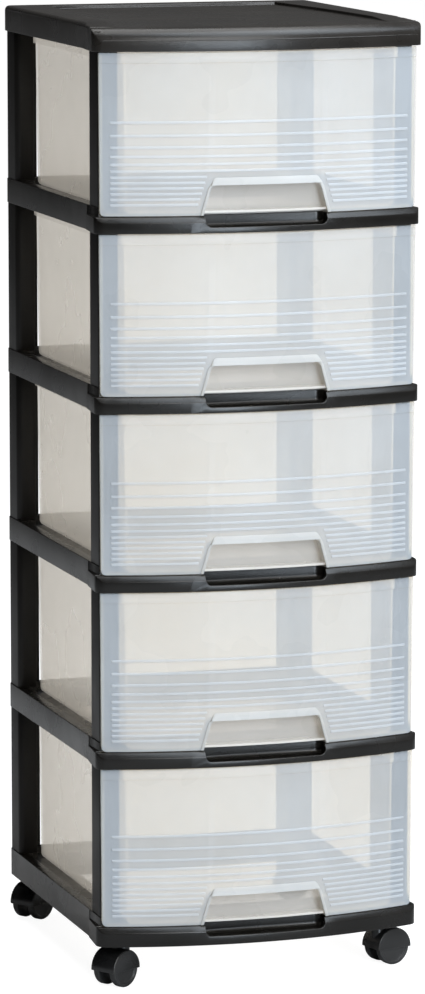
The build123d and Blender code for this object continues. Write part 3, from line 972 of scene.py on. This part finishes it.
class BuildShell(bpy.types.Operator):
    """Refines the cover, the trays and the uprights"""

    bl_idname = "tower.build_shell"
    bl_label = "Build the shell"

    def execute(self, context):
        finish, sizes = context.scene.tower_finish, context.scene.tower_sizes
        shell = black_plastic(
            "black_shell", finish.black, finish.worn, roughness=0.25, grain_strength=0.16, specular=0.30
        )
        cover = black_plastic(
            "black_cover", finish.cover, finish.worn, roughness=0.27, grain_strength=0.30, specular=0.30
        )
        post = black_plastic(
            "black_upright", finish.upright, finish.worn, roughness=0.42, grain_strength=0.2, specular=0.2
        )
        for name in NODES:
            if name.startswith(("tray", "top_cover")):
                cutters = shoulder_cutters(name) if name.startswith("tray") else ()
                piece = refined_copy(name, sizes.shell_edge / MM, 3, cutters, SHELL_PLANES)
                paint(piece, cover if name == "top_cover" else shell)
                place(piece, "frame", "black_shell", name)
            elif name.startswith("upright"):
                piece = refined_copy(name, sizes.upright_edge / MM)
                paint(piece, post)
                place(piece, "frame", "black_upright", name)
        return {"FINISHED"}


# ---- Castors ----

CHEEK_RADIUS = 18.8
CHEEK_LOW = 16.5
CHEEK_THICK = 1.1
CHEEK_OUT = 14.55
CHEEK_EDGE = 0.4
WHEELS = ("_wheel_a", "_wheel_b")


def make_cheeks(castor):
    """The hood's two cheeks, which cover the upper half of the wheels' outer faces."""
    low_hub, high_hub = (sum(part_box(castor + side), Vector()) / 2 for side in WHEELS)
    axle = (high_hub - low_hub).normalized()
    turn = axle.to_track_quat("Z", "Y").to_matrix().to_4x4()
    cheeks = []
    for side in (-1, 1):
        deselect()
        bpy.ops.mesh.primitive_cylinder_add(vertices=96, radius=CHEEK_RADIUS * MM, depth=CHEEK_THICK * MM)
        cheek = bpy.context.object
        hub = (low_hub + high_hub) / 2 + side * CHEEK_OUT * MM * axle
        cheek.data.transform(Matrix.Translation(hub) @ turn)
        bpy.ops.object.mode_set(mode="EDIT")
        bpy.ops.mesh.select_all(action="SELECT")
        bpy.ops.mesh.bisect(
            plane_co=(0, 0, CHEEK_LOW * MM), plane_no=(0, 0, 1), use_fill=True, clear_inner=True
        )
        bpy.ops.object.mode_set(mode="OBJECT")
        soften(cheek, CHEEK_EDGE)
        smooth(cheek)
        cheeks.append(cheek)
    return cheeks


class BuildCastors(bpy.types.Operator):
    """Refines the castors' hoods and wheels and finishes their pins"""

    bl_idname = "tower.build_castors"
    bl_label = "Build the castors"

    def execute(self, context):
        finish, edge = context.scene.tower_finish, context.scene.tower_sizes.castor_edge / MM
        hood = black_plastic(
            "castor_black", finish.castor, finish.worn, roughness=0.28, grain_strength=0.08, specular=0.5
        )
        wheel = black_plastic(
            "castor_wheel", finish.wheel, finish.worn, roughness=0.38, grain_strength=0.15, specular=0.45
        )
        steel = plated_steel("castor_steel", finish.steel)
        for castor in CASTORS:
            piece = refined_copy(castor + "_hood", edge)
            piece = join([piece, *make_cheeks(castor)], castor + "_hood_moulding")
            paint(piece, hood)
            place(piece, castor, "castor_black", castor + "_hood")
            for side in WHEELS:
                piece = refined_copy(castor + side, edge)
                paint(piece, wheel)
                place(piece, castor + side, "castor_wheel", castor + side)
            for pin in ("_stem", "_axle"):
                paint(NODES[castor + pin], steel)
        return {"FINISHED"}


# ---- Stage ----

# Brightness of the studio from below to above, from left to right and from the front to the back.
STUDIO_LEVEL = 0.75
STUDIO_HEIGHT = {"given": (-0.2, 1.0), "wanted": (0.55, 1.25)}
STUDIO_SIDE = {"given": (-0.6, 1.0), "wanted": (0.0, 1.0)}
STUDIO_DEPTH = {"given": (-1.0, 1.0), "wanted": (1.25, 0.30)}
FLOOR_SIZE = 60.0
FLOOR_GREY = (0.30, 0.30, 0.30)
FLOOR_BOUNCE = (0.45, 0.45, 0.45)
FLOOR_GLOW = 0.93
SKY_WHITE = (0.82, 0.91, 1.0)
STRIP_WHITE = (0.78, 0.89, 1.0)
SENSOR_WIDTH = 36.0
CAMERA_REACH = 200.0


def light_studio(world):
    """World that shows white to the camera and lights softly: bright above and in front, dim behind."""
    world.use_nodes = True
    tree = world.node_tree
    shown = tree.nodes["Background"]
    shown.inputs["Color"].default_value = opaque(WHITE)
    around = tree.nodes.new("ShaderNodeTexCoord")
    split = tree.nodes.new("ShaderNodeSeparateXYZ")
    tree.links.new(around.outputs["Generated"], split.inputs["Vector"])
    brightness = remap(tree, split.outputs["Z"], **STUDIO_HEIGHT)
    for axis, part in (("X", STUDIO_SIDE), ("Y", STUDIO_DEPTH)):
        brightness = combine(tree, "MULTIPLY", brightness, remap(tree, split.outputs[axis], **part))
    glow = add_node(tree, "ShaderNodeBackground", Strength=STUDIO_LEVEL)
    tree.links.new(brightness, glow.inputs["Color"])
    split_by_camera(tree, shown.outputs["Background"], glow.outputs["Background"], "World Output")


def floor_paper():
    """White paper floor that throws back only part of its light."""
    material, tree, shader = new_material("floor_paper")
    shader.inputs["Base Color"].default_value = opaque(FLOOR_GREY)
    shader.inputs["Roughness"].default_value = 0.95
    shader.inputs["Specular IOR Level"].default_value = 0.0
    shader.inputs["Emission Color"].default_value = opaque(WHITE)
    shader.inputs["Emission Strength"].default_value = FLOOR_GLOW
    grey = add_node(tree, "ShaderNodeBsdfDiffuse", Color=opaque(FLOOR_BOUNCE))
    split_by_camera(tree, shader.outputs["BSDF"], grey.outputs["BSDF"], "Material Output")
    return material


def soft_box(name, place_at, aim, size, power, colour=WHITE):
    """Rectangular studio light, turned towards a point."""
    deselect()
    bpy.ops.object.light_add(type="AREA", location=place_at)
    lamp = bpy.context.object
    lamp.name = name
    lamp.rotation_euler = (Vector(aim) - Vector(place_at)).to_track_quat("-Z", "Y").to_euler()
    lamp.data.shape = "RECTANGLE"
    lamp.data.size, lamp.data.size_y = size
    lamp.data.energy = power
    lamp.data.color = colour


class BuildStage(bpy.types.Operator):
    """Adds the floor, the lights and the camera"""

    bl_idname = "tower.build_stage"
    bl_label = "Build the stage"

    def execute(self, context):
        deselect()
        bpy.ops.mesh.primitive_plane_add(size=FLOOR_SIZE, location=(0, 0, 0))
        floor = context.object
        floor.name = "floor"
        floor.data.materials.append(floor_paper())

        world = bpy.data.worlds.new("studio")
        light_studio(world)
        context.scene.world = world
        soft_box("key_light", (0.3, -3.4, 2.3), aim=(0, 0, 0.5), size=(1.8, 2.0), power=84.0)
        soft_box("top_light", (0.0, 0.2, 3.4), aim=(0, 0, 0.5), size=(2.4, 2.4), power=70.0)
        soft_box(
            "front_strip", (0.4, -3.2, 0.8), aim=(0, 0, 0.45), size=(0.7, 1.3), power=46.0, colour=STRIP_WHITE
        )
        soft_box(
            "sky_panel", (0.85, -1.0, 3.1), aim=(0, 0, 0.6), size=(2.2, 1.5), power=70.0, colour=SKY_WHITE
        )

        sizes = context.scene.tower_sizes
        bpy.ops.object.camera_add(
            location=(sizes.camera_x, sizes.camera_y, sizes.camera_z),
            rotation=(math.pi / 2 - sizes.camera_tilt, 0, -sizes.camera_turn),
        )
        camera = context.object
        camera.data.lens = sizes.camera_lens
        camera.data.sensor_width = SENSOR_WIDTH
        camera.data.clip_end = CAMERA_REACH
        context.scene.camera = camera
        context.scene.view_settings.view_transform = "Standard"
        return {"FINISHED"}


class TowerPanel(bpy.types.Panel):
    """Lists the tower's building steps"""

    bl_idname = "VIEW3D_PT_drawer_tower"
    bl_label = "Drawer Tower"
    bl_space_type = "VIEW_3D"
    bl_region_type = "UI"
    bl_category = "Drawer Tower"

    def draw(self, context):
        column = self.layout.column()
        for operator in OPERATORS:
            column.operator(operator.bl_idname)


OPERATORS = (BuildShell, BuildCastors, BuildDrawers, BuildStage)
CLASSES = (TowerSizes, TowerFinish, *OPERATORS, TowerPanel)


def register():
    """Adds the classes and the scene's settings."""
    for item in CLASSES:
        bpy.utils.register_class(item)
    bpy.types.Scene.tower_sizes = PointerProperty(type=TowerSizes)
    bpy.types.Scene.tower_finish = PointerProperty(type=TowerFinish)


def unregister():
    """Takes the settings and the classes out again."""
    del bpy.types.Scene.tower_finish
    del bpy.types.Scene.tower_sizes
    for item in reversed(CLASSES):
        bpy.utils.unregister_class(item)


def main():
    """Builds the dressed tower."""
    register()
    bpy.ops.tower.build_shell()
    bpy.ops.tower.build_castors()
    bpy.ops.tower.build_drawers()
    bpy.ops.tower.build_stage()


if __name__ == "__main__":
    main()
